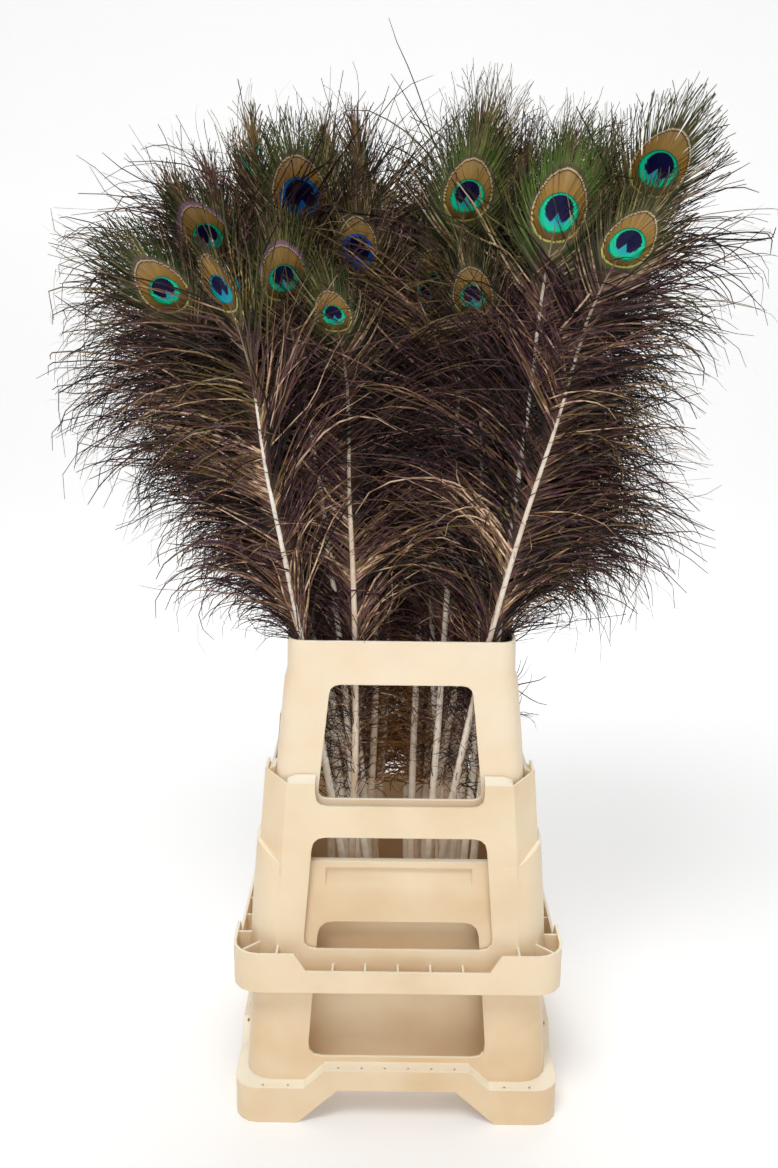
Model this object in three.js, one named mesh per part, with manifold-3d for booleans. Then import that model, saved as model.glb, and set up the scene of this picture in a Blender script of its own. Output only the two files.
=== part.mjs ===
// A flower-trade holder filled with peacock tail feathers: a double-walled bucket, two tapered
// collars stacked on it, and two bunches of feathers that stand loose inside.
// Millimetres, +Z up, +X to the right of the front face. The origin is on the floor under the middle.
import * as THREE from 'three';
import { mergeGeometries, mergeVertices } from 'three/addons/utils/BufferGeometryUtils.js';
import Module from 'manifold-3d';

const wasm = await Module();
wasm.setup();

// ---- driving dimensions -------------------------------------------------------------------------

const wall = 3; // moulded wall
const gap = 0.3; // left between pieces that touch
const narrower = 17.5; // every plan is this much less deep than wide, measured from the middle
const reach = 400; // long enough for a cutter to pass right through
const arcSegments = 4; // facets in a rounded corner of a wall
const windowSegments = 3; // and in the corner of a window
const chamferShare = 0.6; // an inner cut corner is smaller than the outer one by this much of a wall
const over = 10; // cutters run past what they cut by this much
const slight = 1; // or by this much where they follow a slope

const bucketSizes = {
  baseHalf: 168,
  baseCorner: 24,
  flangeLow: 41, // top of the foot flange over the four feet
  flangeHigh: 62, // and in the middle of each side
  flangeRampIn: 74,
  flangeRampOut: 96,
  archHeight: 38.5,
  archTopHalf: 61,
  archStep: 6,
  archStepHalf: 96,
  archFootHalf: 103,
  skirt: [[30, 158], [134, 152.5], [234, 143.5], [279.5, 135.7]], // height, half width
  skirtCorner: 28,
  skirtTrim: 3.6, // the skirt is this much shallower than the foot flange
  tub: [[15, 122], [279.5, 131]],
  tubCorner: 22,
  tubFloor: 18,
  window: { bottom: 68, top: 217, halfBottom: 92.5, halfTop: 81, radius: 15 },
  grip: { half: 74, depth: 4.5, low: 254, slopeTop: 265, top: 273, lean: 1.2, lip: 0.2 },
  footInside: 156, // half the width inside the skirt at the floor
  rimLean: 0.5, // the rim closes on the tub over this much
};

const lowerSizes = {
  ringBottom: 152,
  ringHalf: 168,
  ringCorner: 28,
  ringLow: 176,
  ringHigh: 195,
  ringRampIn: 92.5,
  ringRampOut: 104,
  foot: [[152, 154.5], [234, 150], [283, 146.4], [302, 145.3]],
  footCorner: 30,
  footTrim: 3.6,
  ledgeFront: 277,
  ledgeSide: 297,
  top: [[270, 143.7], [371, 136.3]],
  topChamfer: [24, 26],
  flatsZ: 365, // top of the front and back walls, between the cut corners
  dipBottom: 342,
  dipHalf: 84,
  dipRadius: 12,
  shelfZ: 310.5, // the ledge inside that the upper collar stands on
  shelfInner: 122,
  window: { bottom: 190, top: 309.5, halfBottom: 96.5, halfTop: 86.8, radius: 13 },
  ribThickness: 2.4,
  frontRibs: [-66, -33, 0, 33, 66],
  sideRibs: [-36, 0, 36],
  cornerRib: 122,
  shortRibDrop: 2, // from the ring's edge down to the ribs in the middle
  tallRibDrop: 1, // and at the corners
  diagonalIn: 5, // the diagonal ribs' middles lie this far in from the corner
  ledgeRun: 5, // the sloped ledge runs on past the wall's outer face
  ledgeIn: 2, // and starts this far out from the crease
  sideFlatLess: 8, // the side walls' flats are shorter than the front ones by this
  shelfCorner: 12,
};

const upperSizes = {
  sleeve: [[313.8, 129.4], [390, 123.5], [466, 116.6], [474, 114], [506, 113.4]],
  corner: 16,
  window: { bottom: 345.5, top: 462, halfBottom: 82.6, halfTop: 70.2, radius: 10 },
};

const bunch = {
  pages: 24, // feathers in each bunch, one behind the other
  floorHalf: 56, // half the depth of the bunch at the floor of the tub
  spread: 0.0612, // how much that grows per millimetre of height
  bendFrom: 490, // above here the feathers also curve outwards
  bend: 1.6e-4,
  roundness: 4e-4, // brings the outer feathers back to the middle of the depth
  footNear: 12, // the feet of a bunch stand between these distances from the middle
  footFar: 80,
  rimNear: 12,
  rimFar: 98,
};

const feather = {
  tipHalf: 1.4, // half the width of the shaft's lower tip
  tipLength: 14,
  quillHalf: 3.6, // half the width of the shaft above that
  quillHalfAtDown: 3.3,
  quill: 2.2, // half its thickness low down
  quillAtRim: 1.7,
  quillAtEye: 0.7,
  downFrom: 335, // the first short barbs
  downTo: 500,
  downHalf: 8,
  flare: 0.62, // growth of the vane above the rim, per millimetre
  vaneHalf: 113,
  eyeHalf: 92,
  fringe: 88, // from the middle of the eye to the tip of the fringe
  locks: 4,
  notch: 0.8,
  fringeSteps: [0.5, 0.82, 0.98],
  eyeTaper: 140, // the vane narrows to the eye's width over this height
  notchShare: 0.78, // of a lock's height, from its tip down to the notch
  topLock: 10, // the last lock's tip is this far above the middle of the eye
  middleGap: 4, // each bunch stays this far from the middle plane
};

const rimHeight = 506;

// The eyes behind the front ones: how far across they may be, and how high.
const hidden = {
  near: 48,
  span: 178,
  middleTop: 985,
  middleDrop: 45,
  rearFrom: 0.6, // of the pages
  rearTop: 940,
  rearDrop: 95,
  droop: 7e-4, // the outer ones are lower
};

// Eyes that show on the front: how far across, how high, and where the shaft crosses the rim.
const leftFronts = [
  { eye: [-169, 844], rim: -99 },
  { eye: [-68, 821], rim: -46 },
  { eye: [-114, 854], rim: -62 },
  { eye: [-228, 842], rim: -90 },
  { eye: [-186, 890], rim: -84 },
  { eye: [-46, 879], rim: -70 },
  { eye: [-101, 928], rim: -77 },
];
const rightFronts = [
  { eye: [195, 886], rim: 88 },
  { eye: [131, 913], rim: 97 },
  { eye: [58, 839], rim: 80 },
  { eye: [51, 927], rim: 44 },
  { eye: [226, 954], rim: 92 },
  { eye: [158, 820], rim: 70 },
  { eye: [22, 846], rim: 32 },
  { eye: [57, 735], rim: 52 },
];

const cream = { color: 0xf0dcb9, roughness: 0.45, metalness: 0 };
const plumage = { color: 0x3b3128, roughness: 0.6, metalness: 0 };

// ---- solids -------------------------------------------------------------------------------------

function solid(geometry) {
  const bare = geometry.clone();
  bare.deleteAttribute('normal');
  bare.deleteAttribute('uv');
  const merged = mergeVertices(bare, 1e-4);
  return new wasm.Manifold(new wasm.Mesh({
    numProp: 3,
    vertProperties: new Float32Array(merged.attributes.position.array),
    triVerts: new Uint32Array(merged.index.array),
  }));
}

function toGeometry(body) {
  const mesh = body.getMesh();
  const geometry = new THREE.BufferGeometry();
  geometry.setAttribute('position', new THREE.BufferAttribute(mesh.vertProperties, 3));
  geometry.setIndex(new THREE.BufferAttribute(mesh.triVerts, 1));
  geometry.computeVertexNormals();
  return geometry;
}

// A plan with four equal corners, round or cut off straight.
function plan(half, deep, corner, round) {
  const [alongX, alongY] = corner;
  const shape = new THREE.Shape();
  const corners = [[1, 1, 0], [-1, 1, 90], [-1, -1, 180], [1, -1, 270]];
  corners.forEach(([sideX, sideY, start], index) => {
    const centreX = sideX * (half - alongX);
    const centreY = sideY * (deep - alongY);
    const steps = round ? arcSegments : 1;
    for (let step = 0; step <= steps; step += 1) {
      const angle = THREE.MathUtils.degToRad(start + (90 * step) / steps);
      const x = centreX + alongX * Math.cos(angle);
      const y = centreY + alongY * Math.sin(angle);
      if (index === 0 && step === 0) shape.moveTo(x, y);
      else shape.lineTo(x, y);
    }
  });
  return shape;
}

// A body whose plan changes with height: levels are [height, half width], thinned by inset and
// made shallower by trim.
function tapered(levels, corner, { round = true, inset = 0, trim = 0 } = {}) {
  const base = levels[0][1];
  const cut = corner.map((size) => Math.max(size - (round ? inset : inset * chamferShare), 1));
  const shape = plan(base - inset, base - inset - narrower - trim, cut, round);
  const steps = levels.length - 1;
  const geometry = new THREE.ExtrudeGeometry(shape, { depth: steps, steps, bevelEnabled: false });
  const places = geometry.attributes.position;
  for (let i = 0; i < places.count; i += 1) {
    const [height, half] = levels[Math.round(places.getZ(i))];
    const shift = half - base;
    places.setX(i, places.getX(i) + Math.sign(places.getX(i)) * shift);
    places.setY(i, places.getY(i) + Math.sign(places.getY(i)) * shift);
    places.setZ(i, height);
  }
  return solid(geometry);
}

function halfAt(levels, height) {
  let index = 1;
  while (index < levels.length - 1 && levels[index][0] < height) index += 1;
  const [lowZ, lowHalf] = levels[index - 1];
  const [highZ, highHalf] = levels[index];
  return lowHalf + ((highHalf - lowHalf) * (height - lowZ)) / (highZ - lowZ);
}

// An outline of [across, height] points, run right through from front to back.
function throughFront(shape) {
  const geometry = new THREE.ExtrudeGeometry(shape, {
    depth: 2 * reach,
    bevelEnabled: false,
    curveSegments: windowSegments,
  });
  geometry.translate(0, 0, -reach);
  geometry.rotateX(Math.PI / 2);
  return solid(geometry);
}

// The same, run through from side to side.
function throughSide(shape) {
  return throughFront(shape).rotate([0, 0, 90]);
}

function outline(points) {
  return new THREE.Shape(points.map(([across, height]) => new THREE.Vector2(across, height)));
}

// Half an outline, mirrored in the middle plane; points run outwards along the top.
function mirrored(points) {
  const other = points.map(([across, height]) => [-across, height]).reverse();
  return outline([...points, ...other]);
}

function windowShape({ bottom, top, halfBottom, halfTop, radius }, less = 0) {
  const lean = (halfBottom - halfTop) / (top - bottom);
  const low = halfBottom - less;
  const high = halfTop - less;
  const shape = new THREE.Shape();
  shape.moveTo(-low + radius, bottom);
  shape.lineTo(low - radius, bottom);
  shape.quadraticCurveTo(low, bottom, low - lean * radius, bottom + radius);
  shape.lineTo(high + lean * radius, top - radius);
  shape.quadraticCurveTo(high, top, high - radius, top);
  shape.lineTo(-high + radius, top);
  shape.quadraticCurveTo(-high, top, -high - lean * radius, top - radius);
  shape.lineTo(-low + lean * radius, bottom + radius);
  shape.quadraticCurveTo(-low, bottom, -low + radius, bottom);
  return shape;
}

function allWindows(sizes) {
  return throughFront(windowShape(sizes)).add(throughSide(windowShape(sizes, narrower)));
}

function block(sizeX, sizeY, sizeZ, x, y, z) {
  const geometry = new THREE.BoxGeometry(sizeX, sizeY, sizeZ);
  geometry.translate(x, y, z);
  return solid(geometry);
}

// A height that steps from high in the middle of a side to low at its ends, or the other way.
function ramped(halfLimit, middle, ends, rampIn, rampOut, bottom) {
  return mirrored([[rampIn, middle], [rampOut, ends], [halfLimit, ends], [halfLimit, bottom]].reverse());
}

// ---- bucket -------------------------------------------------------------------------------------

function flangeBody(inset, drop) {
  const { baseHalf, baseCorner, flangeLow, flangeHigh, flangeRampIn, flangeRampOut } = bucketSizes;
  const bottom = inset > 0 ? -over : 0;
  const foot = tapered([[bottom, baseHalf], [flangeHigh, baseHalf]], [baseCorner, baseCorner], { inset });
  const high = flangeHigh - drop;
  const low = flangeLow - drop;
  const front = ramped(reach, high, low, flangeRampIn, flangeRampOut, -over);
  const side = ramped(reach, high, low, flangeRampIn - narrower, flangeRampOut - narrower, -over);
  return foot.intersect(throughFront(front).add(throughSide(side)));
}

function archShape(less) {
  const { archHeight, archTopHalf, archStep, archStepHalf, archFootHalf } = bucketSizes;
  return mirrored([
    [archFootHalf - less, -over],
    [archFootHalf - less, 0],
    [archStepHalf - less, archStep],
    [archTopHalf - less, archHeight],
  ]);
}

// The pocket under the rim on each side, with a floor that slopes out to the wall.
function gripPocket(extra) {
  const { skirt, skirtTrim } = bucketSizes;
  const { half, depth, low, slopeTop, top, lean, lip } = bucketSizes.grip;
  const face = (height) => halfAt(skirt, height) - narrower - skirtTrim;
  const back = face(slopeTop) - depth - extra;
  const section = outline([
    [back - lean, top + extra],
    [reach, top + extra],
    [reach, low - extra],
    [face(low) + lip - extra, low - extra],
    [back, slopeTop - extra],
  ]);
  const width = half + extra;
  const geometry = new THREE.ExtrudeGeometry(section, { depth: 2 * width, bevelEnabled: false });
  geometry.translate(0, 0, -width);
  geometry.rotateX(Math.PI / 2);
  return solid(geometry);
}

function gripPockets(extra) {
  const pocket = gripPocket(extra);
  const wide = pocket.rotate([0, 0, 90]).add(pocket.rotate([0, 0, -90]));
  const limit = bucketSizes.grip.half - narrower + extra;
  const shorter = block(2 * reach, 2 * limit, 2 * reach, 0, 0, 0);
  const onSides = pocket.translate([narrower + bucketSizes.skirtTrim, 0, 0]).intersect(shorter);
  return wide.add(onSides).add(onSides.rotate([0, 0, 180]));
}

function makeBucket() {
  const { skirt, skirtCorner, skirtTrim, tub, tubCorner, tubFloor, footInside, rimLean } = bucketSizes;
  const corner = [skirtCorner, skirtCorner];
  const [tubTop, rimHalf] = skirt.at(-1);
  const skirtInside = [[-over, footInside], ...skirt.slice(0, -1), [tubTop - wall, rimHalf + rimLean]];
  const outside = tapered(skirt, corner, { trim: skirtTrim }).subtract(gripPockets(0));
  const inside = tapered(skirtInside, corner, { inset: wall, trim: skirtTrim })
    .subtract(gripPockets(wall));
  const tubPlan = { trim: skirtTrim };
  const tubOutside = tapered([tub[0], [tubTop - rimLean, tub[1][1]]], [tubCorner, tubCorner], tubPlan);
  const tubInside = tapered([[tubFloor, tub[0][1]], [tubTop + over, tub[1][1]]], [tubCorner, tubCorner], {
    inset: wall,
    trim: skirtTrim,
  });
  return flangeBody(0, 0)
    .subtract(flangeBody(wall, wall))
    .add(outside)
    .subtract(inside)
    .subtract(throughFront(archShape(0)))
    .subtract(throughSide(archShape(narrower)))
    .subtract(allWindows(bucketSizes.window))
    .add(tubOutside)
    .subtract(tubInside);
}

// ---- lower collar -------------------------------------------------------------------------------

function collarRing() {
  const { ringBottom, ringHalf, ringCorner, ringLow, ringHigh, ringRampIn, ringRampOut } = lowerSizes;
  const corner = [ringCorner, ringCorner];
  const above = ringHigh + over;
  const outside = tapered([[ringBottom, ringHalf], [ringHigh, ringHalf]], corner);
  const channel = tapered([[ringBottom + wall, ringHalf], [above, ringHalf]], corner, { inset: wall });
  const front = mirrored([[ringRampIn, ringLow], [ringRampOut, ringHigh], [ringRampOut, above]]);
  const side = mirrored([
    [ringRampIn - narrower, ringLow],
    [ringRampOut - narrower, ringHigh],
    [ringRampOut - narrower, above],
  ]);
  return outside.subtract(channel).subtract(throughFront(front)).subtract(throughSide(side));
}

function collarRibs() {
  const { ringBottom, ringHalf, ringLow, ringHigh, ribThickness, frontRibs, sideRibs } = lowerSizes;
  const { foot, footTrim, cornerRib, ringCorner, shortRibDrop, tallRibDrop, diagonalIn } = lowerSizes;
  const outer = ringHalf - wall / 2;
  const inner = halfAt(foot, ringBottom) - wall - footTrim;
  const depth = outer - inner;
  const middle = (outer + inner) / 2;
  const shortTop = ringLow - shortRibDrop;
  const tallTop = ringHigh - tallRibDrop;
  const ribs = [];
  for (const side of [-1, 1]) {
    for (const at of frontRibs) {
      const tall = shortTop - ringBottom;
      const z = ringBottom + tall / 2;
      ribs.push(block(ribThickness, depth, tall, at, side * (middle - narrower), z));
    }
    for (const at of sideRibs) {
      const tall = shortTop - ringBottom;
      ribs.push(block(depth, ribThickness, tall, side * middle, at, ringBottom + tall / 2));
    }
    for (const turn of [-1, 1]) {
      const tall = tallTop - ringBottom;
      const z = ringBottom + tall / 2;
      ribs.push(block(ribThickness, depth, tall, turn * cornerRib, side * (middle - narrower), z));
      ribs.push(block(depth, ribThickness, tall, side * middle, turn * (cornerRib - narrower), z));
      const diagonal = block(2 * depth, ribThickness, tall, 0, 0, z).rotate([0, 0, 45 * turn * side]);
      const inwards = middle - diagonalIn;
      ribs.push(diagonal.translate([turn * inwards, side * (inwards - narrower), 0]));
    }
  }
  const within = tapered([[ringBottom, ringHalf], [ringHigh, ringHalf]], [ringCorner, ringCorner], {
    inset: wall / 2,
  });
  return wasm.Manifold.union(ribs).intersect(within);
}

function makeLowerCollar() {
  const { foot, footCorner, footTrim, ledgeFront, ledgeSide, top, topChamfer, flatsZ } = lowerSizes;
  const { dipBottom, dipHalf, dipRadius, shelfZ, shelfInner, shelfCorner, ringBottom } = lowerSizes;
  const { ledgeRun, ledgeIn, sideFlatLess } = lowerSizes;
  const round = [footCorner, footCorner];
  const topZ = top.at(-1)[0];
  const topHalf = top.at(-1)[1];
  const creaseX = topHalf - topChamfer[0];
  const ledge = (drop) => throughFront(mirrored([
    [reach, ringBottom - over],
    [reach, ledgeSide - drop],
    [topHalf + ledgeRun, ledgeSide - drop],
    [creaseX + ledgeIn, ledgeFront - drop],
  ]));
  const footInsideLevels = [[ringBottom - slight, foot[0][1]], ...foot.slice(1)];
  const footOutside = tapered(foot, round, { trim: footTrim }).intersect(ledge(0));
  const footInside = tapered(footInsideLevels, round, { inset: wall, trim: footTrim });
  const topOutside = tapered(top, topChamfer, { round: false });
  const topInside = tapered([[top[0][0] - slight, top[0][1]], [topZ + slight, topHalf]], topChamfer, {
    round: false,
    inset: wall,
  });
  const hollow = footInside.intersect(ledge(wall)).add(topInside);

  // The lip that reaches in to the upper collar along the flats, with its top rising inwards.
  const lipBottom = flatsZ - wall;
  const lipInner = halfAt(upperSizes.sleeve, lipBottom) + gap;
  const lipOuter = topHalf - slight;
  const lipLevels = [[lipBottom, lipOuter], [flatsZ, lipOuter], [topZ, lipInner + slight]];
  const lip = tapered(lipLevels, topChamfer, { round: false })
    .subtract(tapered([[lipBottom - over, lipInner], [topZ + over, lipInner]], [wall, wall]));
  const flats = block(2 * creaseX, reach * 2, reach * 2, 0, 0, 0)
    .add(block(reach * 2, 2 * (creaseX - narrower - sideFlatLess), reach * 2, 0, 0, 0));

  const shelfLevels = [[shelfZ, top[0][1]], [shelfZ + wall, top[0][1]]];
  const shelfHole = [[shelfZ - over, shelfInner], [shelfZ + over, shelfInner]];
  const shelf = tapered(shelfLevels, topChamfer, { round: false })
    .subtract(tapered(shelfHole, [shelfCorner, shelfCorner]));

  const dip = {
    bottom: dipBottom, top: topZ + over, halfBottom: dipHalf, halfTop: dipHalf, radius: dipRadius,
  };
  const pastWall = topHalf + slight;
  const flatsTop = throughFront(mirrored([[creaseX, flatsZ], [pastWall, topZ], [pastWall, topZ + over]]))
    .subtract(block(2 * reach, 2 * (topHalf - narrower - topChamfer[1]), 2 * reach, 0, 0, 0));
  const sleeveRoom = [[ringBottom - over, shelfInner], [topZ + over, shelfInner]];
  return footOutside
    .add(topOutside.subtract(flatsTop))
    .add(collarRing().subtract(tapered(sleeveRoom, round)))
    .add(collarRibs())
    .subtract(hollow)
    .add(lip.intersect(flats))
    .add(shelf.intersect(topOutside))
    .subtract(throughFront(windowShape(dip)))
    .subtract(throughSide(windowShape(dip, narrower)))
    .subtract(allWindows(lowerSizes.window));
}

// ---- upper collar -------------------------------------------------------------------------------

function makeUpperCollar() {
  const { sleeve, corner } = upperSizes;
  const first = sleeve[0];
  const last = sleeve.at(-1);
  const insideLevels = [[first[0] - 1, first[1]], ...sleeve.slice(1, -1), [last[0] + 1, last[1]]];
  return tapered(sleeve, [corner, corner])
    .subtract(tapered(insideLevels, [corner, corner], { inset: wall }))
    .subtract(allWindows(upperSizes.window));
}

// ---- feathers -----------------------------------------------------------------------------------

const golden = (count, start) => (count * 0.618034 + start) % 1;

// Each feather lies in its own curved page, so that no two can meet: place is -1 at the front
// of the bunch and 1 at the back.
function pageY(place, x, z) {
  const { floorHalf, spread, bendFrom, bend, roundness } = bunch;
  const above = Math.max(z - bendFrom, 0);
  return place * (floorHalf + spread * z + bend * above ** 2 - roundness * x ** 2);
}

// Where the feathers behind the front ones have their eyes; the rear ones are set like the front.
function hiddenSpec(side, page) {
  const { rimNear, rimFar, pages } = bunch;
  const { near, span, middleTop, middleDrop, rearFrom, rearTop, rearDrop, droop } = hidden;
  const rear = page > pages * rearFrom;
  const across = near + span * golden(page, side > 0 ? 0.15 : 0.6);
  const spreadDown = (rear ? rearDrop : middleDrop) * golden(page * 2, 0.3);
  const top = rear ? rearTop : middleTop;
  const rim = THREE.MathUtils.lerp(rimNear, rimFar, (across - near) / span);
  return { eye: [side * across, top - spreadDown - droop * across ** 2], rim: side * rim };
}

// The shaft leaves the floor, crosses the rim and ends in the eye on one smooth bend.
function shaftCurve(foot, spec) {
  const footZ = bucketSizes.tubFloor + gap;
  const [eyeX, eyeZ] = spec.eye;
  return (z) => {
    const toRim = ((z - rimHeight) * (z - eyeZ)) / ((footZ - rimHeight) * (footZ - eyeZ));
    const atRim = ((z - footZ) * (z - eyeZ)) / ((rimHeight - footZ) * (rimHeight - eyeZ));
    const atEye = ((z - footZ) * (z - rimHeight)) / ((eyeZ - footZ) * (eyeZ - rimHeight));
    return foot * toRim + spec.rim * atRim + eyeX * atEye;
  };
}

// Stations up one feather: height, and half the width of the vane there.
function vaneStations(eyeZ) {
  const { tipHalf, tipLength, quillHalf, quillHalfAtDown, downFrom, downTo, downHalf } = feather;
  const { flare, vaneHalf, eyeHalf, fringe, locks, notch, notchShare, topLock, eyeTaper } = feather;
  const widest = (z) => {
    const fromRim = downHalf + flare * (z - downTo);
    const fromEye = eyeHalf + (vaneHalf - eyeHalf) * Math.min((eyeZ - z) / eyeTaper, 1);
    return Math.min(fromRim, fromEye);
  };
  const footZ = bucketSizes.tubFloor + gap;
  const stations = [
    [footZ, tipHalf],
    [footZ + tipLength, quillHalf],
    [downFrom, quillHalfAtDown],
    [downTo, downHalf],
  ];
  const lockHeight = (eyeZ + topLock - downTo) / locks;
  for (let lock = 1; lock <= locks; lock += 1) {
    const tipZ = downTo + lock * lockHeight;
    const notchZ = tipZ - lockHeight * notchShare;
    stations.push([notchZ, widest(notchZ) * notch]);
    stations.push([tipZ, widest(tipZ)]);
  }
  for (const share of feather.fringeSteps) {
    stations.push([eyeZ + fringe * share, eyeHalf * Math.sqrt(1 - share ** 2)]);
  }
  return stations;
}

function ridgeAt(z, eyeZ) {
  const { quill, quillAtRim, quillAtEye } = feather;
  if (z < rimHeight) return THREE.MathUtils.mapLinear(z, 0, rimHeight, quill, quillAtRim);
  return THREE.MathUtils.mapLinear(Math.min(z, eyeZ), rimHeight, eyeZ, quillAtRim, quillAtEye);
}

// One face of a feather: a sheet with the shaft's ridge down its middle and a row at each station.
// Both faces are folded along the same lines, so that they meet only round the edge.
function featherFace(rows, face, pointAt) {
  const steps = rows - 1;
  const sheet = new THREE.PlaneGeometry(2, steps, 2, steps);
  sheet.translate(0, steps / 2, 0);
  sheet.rotateX(Math.PI / 2);
  if (face > 0) sheet.index.array.reverse();
  const places = sheet.attributes.position;
  for (let i = 0; i < places.count; i += 1) {
    const row = Math.round(places.getZ(i));
    const column = Math.round(places.getX(i));
    const raised = column === 0 && row > 0 && row < steps ? face : 0;
    places.setXYZ(i, ...pointAt(row, column, raised));
  }
  return sheet;
}

// One feather: the shaft where it is narrow, and a thin vane with a raised rib where it is wide.
function makeFeather(side, page, spec) {
  const { pages, footNear, footFar } = bunch;
  const sheet = 2 * page + (side > 0 ? 1 : 0);
  const place = -1 + (2 * sheet) / (2 * pages - 1);
  const foot = side * THREE.MathUtils.lerp(footNear, footFar, golden(page, 0.2));
  const curve = shaftCurve(foot, spec);
  const eyeZ = spec.eye[1];
  const stations = vaneStations(eyeZ);
  const pointAt = (row, column, raised) => {
    const [z, half] = stations[row];
    const across = side * (curve(z) + column * half);
    const x = side * Math.max(across, feather.middleGap);
    return [x, pageY(place, x, z) + raised * ridgeAt(z, eyeZ), z];
  };
  const faces = [-1, 1].map((face) => featherFace(stations.length, face, pointAt));
  return toGeometry(solid(mergeGeometries(faces)));
}

// ---- the object ---------------------------------------------------------------------------------

function named(name, geometry, finish) {
  const mesh = new THREE.Mesh(geometry, new THREE.MeshStandardMaterial(finish));
  mesh.name = name;
  return mesh;
}

function makeBunch(side, label, fronts) {
  const group = new THREE.Group();
  for (let page = 0; page < bunch.pages; page += 1) {
    const spec = page < fronts.length ? fronts[page] : hiddenSpec(side, page);
    const number = String(page + 1).padStart(2, '0');
    group.add(named(`feather_${label}_${number}`, makeFeather(side, page, spec), plumage));
  }
  return group;
}

const filledHolder = new THREE.Group();
filledHolder.add(named('bucket', toGeometry(makeBucket()), cream));
filledHolder.add(named('lower_collar', toGeometry(makeLowerCollar()), cream));
filledHolder.add(named('upper_collar', toGeometry(makeUpperCollar()), cream));
filledHolder.add(makeBunch(-1, 'left', leftFronts));
filledHolder.add(makeBunch(1, 'right', rightFronts));

// The origin is under the middle of the whole, feathers included.
const extent = new THREE.Box3().setFromObject(filledHolder);
filledHolder.position.x = -(extent.min.x + extent.max.x) / 2;

export default filledHolder;
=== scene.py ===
import math

import bmesh
import bpy
import numpy as np
from mathutils import Matrix, Vector


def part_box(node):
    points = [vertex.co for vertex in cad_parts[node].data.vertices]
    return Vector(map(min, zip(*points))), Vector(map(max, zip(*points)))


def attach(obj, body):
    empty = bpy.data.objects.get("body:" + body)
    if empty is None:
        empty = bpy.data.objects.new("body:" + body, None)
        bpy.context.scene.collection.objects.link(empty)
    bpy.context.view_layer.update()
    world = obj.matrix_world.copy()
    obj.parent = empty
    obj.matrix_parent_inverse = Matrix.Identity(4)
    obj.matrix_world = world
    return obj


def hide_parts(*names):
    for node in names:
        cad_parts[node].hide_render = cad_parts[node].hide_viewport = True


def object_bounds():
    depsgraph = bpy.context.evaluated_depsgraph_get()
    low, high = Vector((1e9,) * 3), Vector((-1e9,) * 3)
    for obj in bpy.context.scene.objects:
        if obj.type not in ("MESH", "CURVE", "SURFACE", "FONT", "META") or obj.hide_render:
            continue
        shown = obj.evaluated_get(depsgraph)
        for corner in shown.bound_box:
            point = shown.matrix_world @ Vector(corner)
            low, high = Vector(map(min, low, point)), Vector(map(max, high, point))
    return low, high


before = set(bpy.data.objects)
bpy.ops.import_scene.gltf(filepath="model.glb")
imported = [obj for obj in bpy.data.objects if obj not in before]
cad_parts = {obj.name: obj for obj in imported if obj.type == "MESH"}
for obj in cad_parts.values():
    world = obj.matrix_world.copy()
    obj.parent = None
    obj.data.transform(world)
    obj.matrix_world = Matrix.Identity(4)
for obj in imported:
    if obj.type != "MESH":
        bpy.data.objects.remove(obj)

# Peacock tail feathers in a flower-trade holder. The feathers are worked out in millimetres from
# the holder's middle, and everything reaches Blender in metres.
mm = 0.001
cadBox = [list(corner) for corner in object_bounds()]
holderMiddle = (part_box("bucket")[0].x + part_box("bucket")[1].x) / 2 / mm
random = np.random.default_rng(71)


cameraSettings = {
    "place": (-13.3, -1174.9, 830.7),  # millimetres from the holder's middle
    "lookDown": 13.872,
    "roll": 0.65,
    "lens": 35.4,
    "filmHeight": 36,
}

studioSettings = {
    "world": 0.42,
    "keyPower": 32,
    "keySize": 0.9,
    "keyPlace": (-0.5, -1.4, 2.6),
    "fillPower": 8,
    "fillSize": 1.4,
    "fillPlace": (0.6, -2.2, 1.1),
    "backPower": 16,
    "backPlace": (0.2, 1.2, 2.6),
    "floorFront": -3.5,
    "floorBack": 2.4,
    "floorHalf": 5.0,
    "sweepRadius": 1.2,
    "sweepSteps": 16,
    "wallTop": 5.0,
    "lightsAim": (0, 0, 0.5),
    "paper": (0.92, 0.92, 0.92),
    "paperGlow": 0.15,  # the paper is lit from behind, more so on the wall
    "wallGlow": 0.34,
    "wallGlowBehind": (0.4, 2.2),
    "paperRoughness": 0.9,
    "paperShine": 0.1,
}


def makeCamera():
    camera = bpy.data.cameras.new("camera")
    camera.sensor_fit = "VERTICAL"
    camera.sensor_height = cameraSettings["filmHeight"]
    camera.lens = cameraSettings["lens"]
    holder = bpy.data.objects.new("camera", camera)
    bpy.context.collection.objects.link(holder)
    place = Vector(cameraSettings["place"]) * mm + Vector((holderMiddle * mm, 0, 0))
    tilt = Matrix.Rotation(math.radians(90 - cameraSettings["lookDown"]), 4, "X")
    roll = Matrix.Rotation(math.radians(cameraSettings["roll"]), 4, "Z")
    holder.matrix_world = Matrix.Translation(place) @ tilt @ roll
    bpy.context.scene.camera = holder


def addSoftbox(name, place, power, size):
    light = bpy.data.lights.new(name, "AREA")
    light.energy = power
    light.size = size
    lamp = bpy.data.objects.new(name, light)
    lamp.location = place
    aim = Vector(studioSettings["lightsAim"]) - Vector(place)
    lamp.rotation_euler = aim.to_track_quat("-Z", "Y").to_euler()
    bpy.context.collection.objects.link(lamp)


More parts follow.
